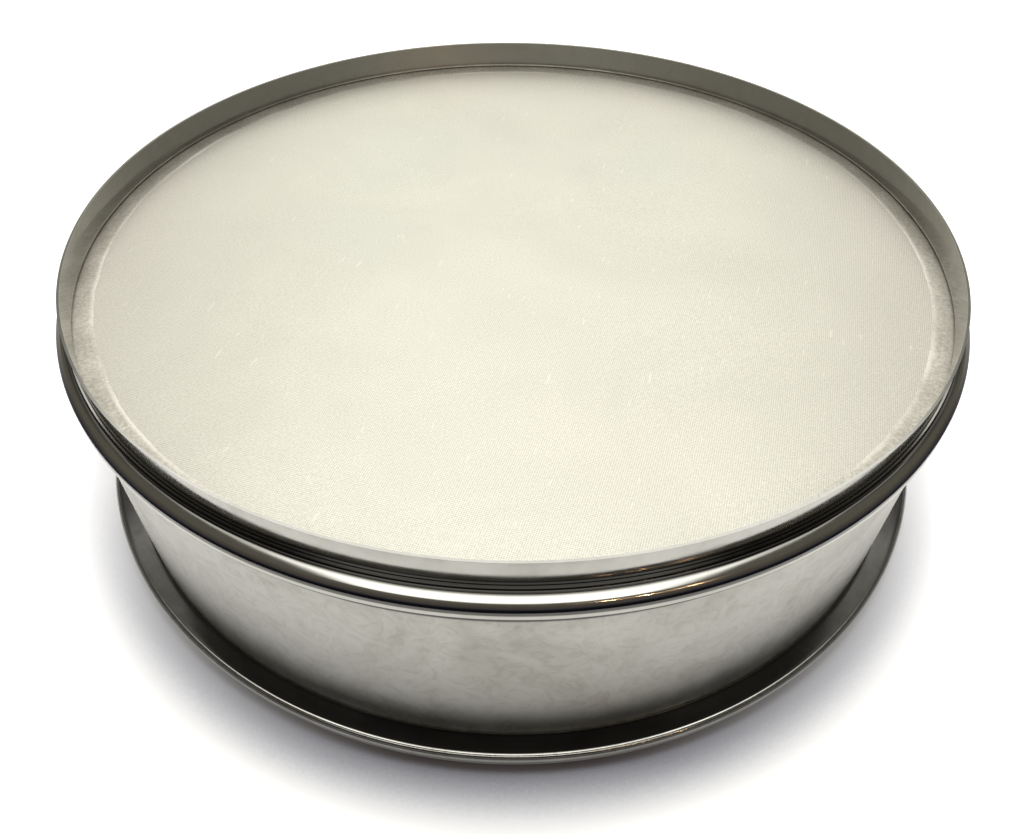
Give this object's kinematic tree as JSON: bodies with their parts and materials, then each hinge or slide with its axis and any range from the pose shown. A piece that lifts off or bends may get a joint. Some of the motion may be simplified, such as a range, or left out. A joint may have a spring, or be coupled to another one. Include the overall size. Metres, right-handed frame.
{
  "type": "laboratory test sieve",
  "caption": "Round laboratory test sieve standing on its rolled rim: a steel frame, fine wire cloth sealed by a solder band, a beaded joint ring and a narrow skirt that nests in the next sieve.",
  "frame": {"origin": "on the sieve's axis, in the plane that the rolled rim stands on", "axes": "+Z along the axis, from the rolled rim to the skirt, so the sieve is upside down; X and Y are any two directions across it, because every ring is round"},
  "size_m": [0.2136, 0.2136, 0.0605],
  "materials": {
    "polished_frame": "spun stainless steel, satin to bright, with faint handling marks",
    "polished_skirt": "spun stainless steel, bright, with a bare cut edge",
    "polished_bead": "rolled stainless steel, bright",
    "woven_wire": "fine woven stainless wire cloth, pale and matt, with faint scratches",
    "solder": "dull tin solder, grainy"
  },
  "bodies": {
    "root": {"frame": "polished_frame", "skirt": "polished_skirt", "bead_ring": "polished_bead", "wire_cloth": "woven_wire", "solder_band": "solder"}
  },
  "joints": []
}
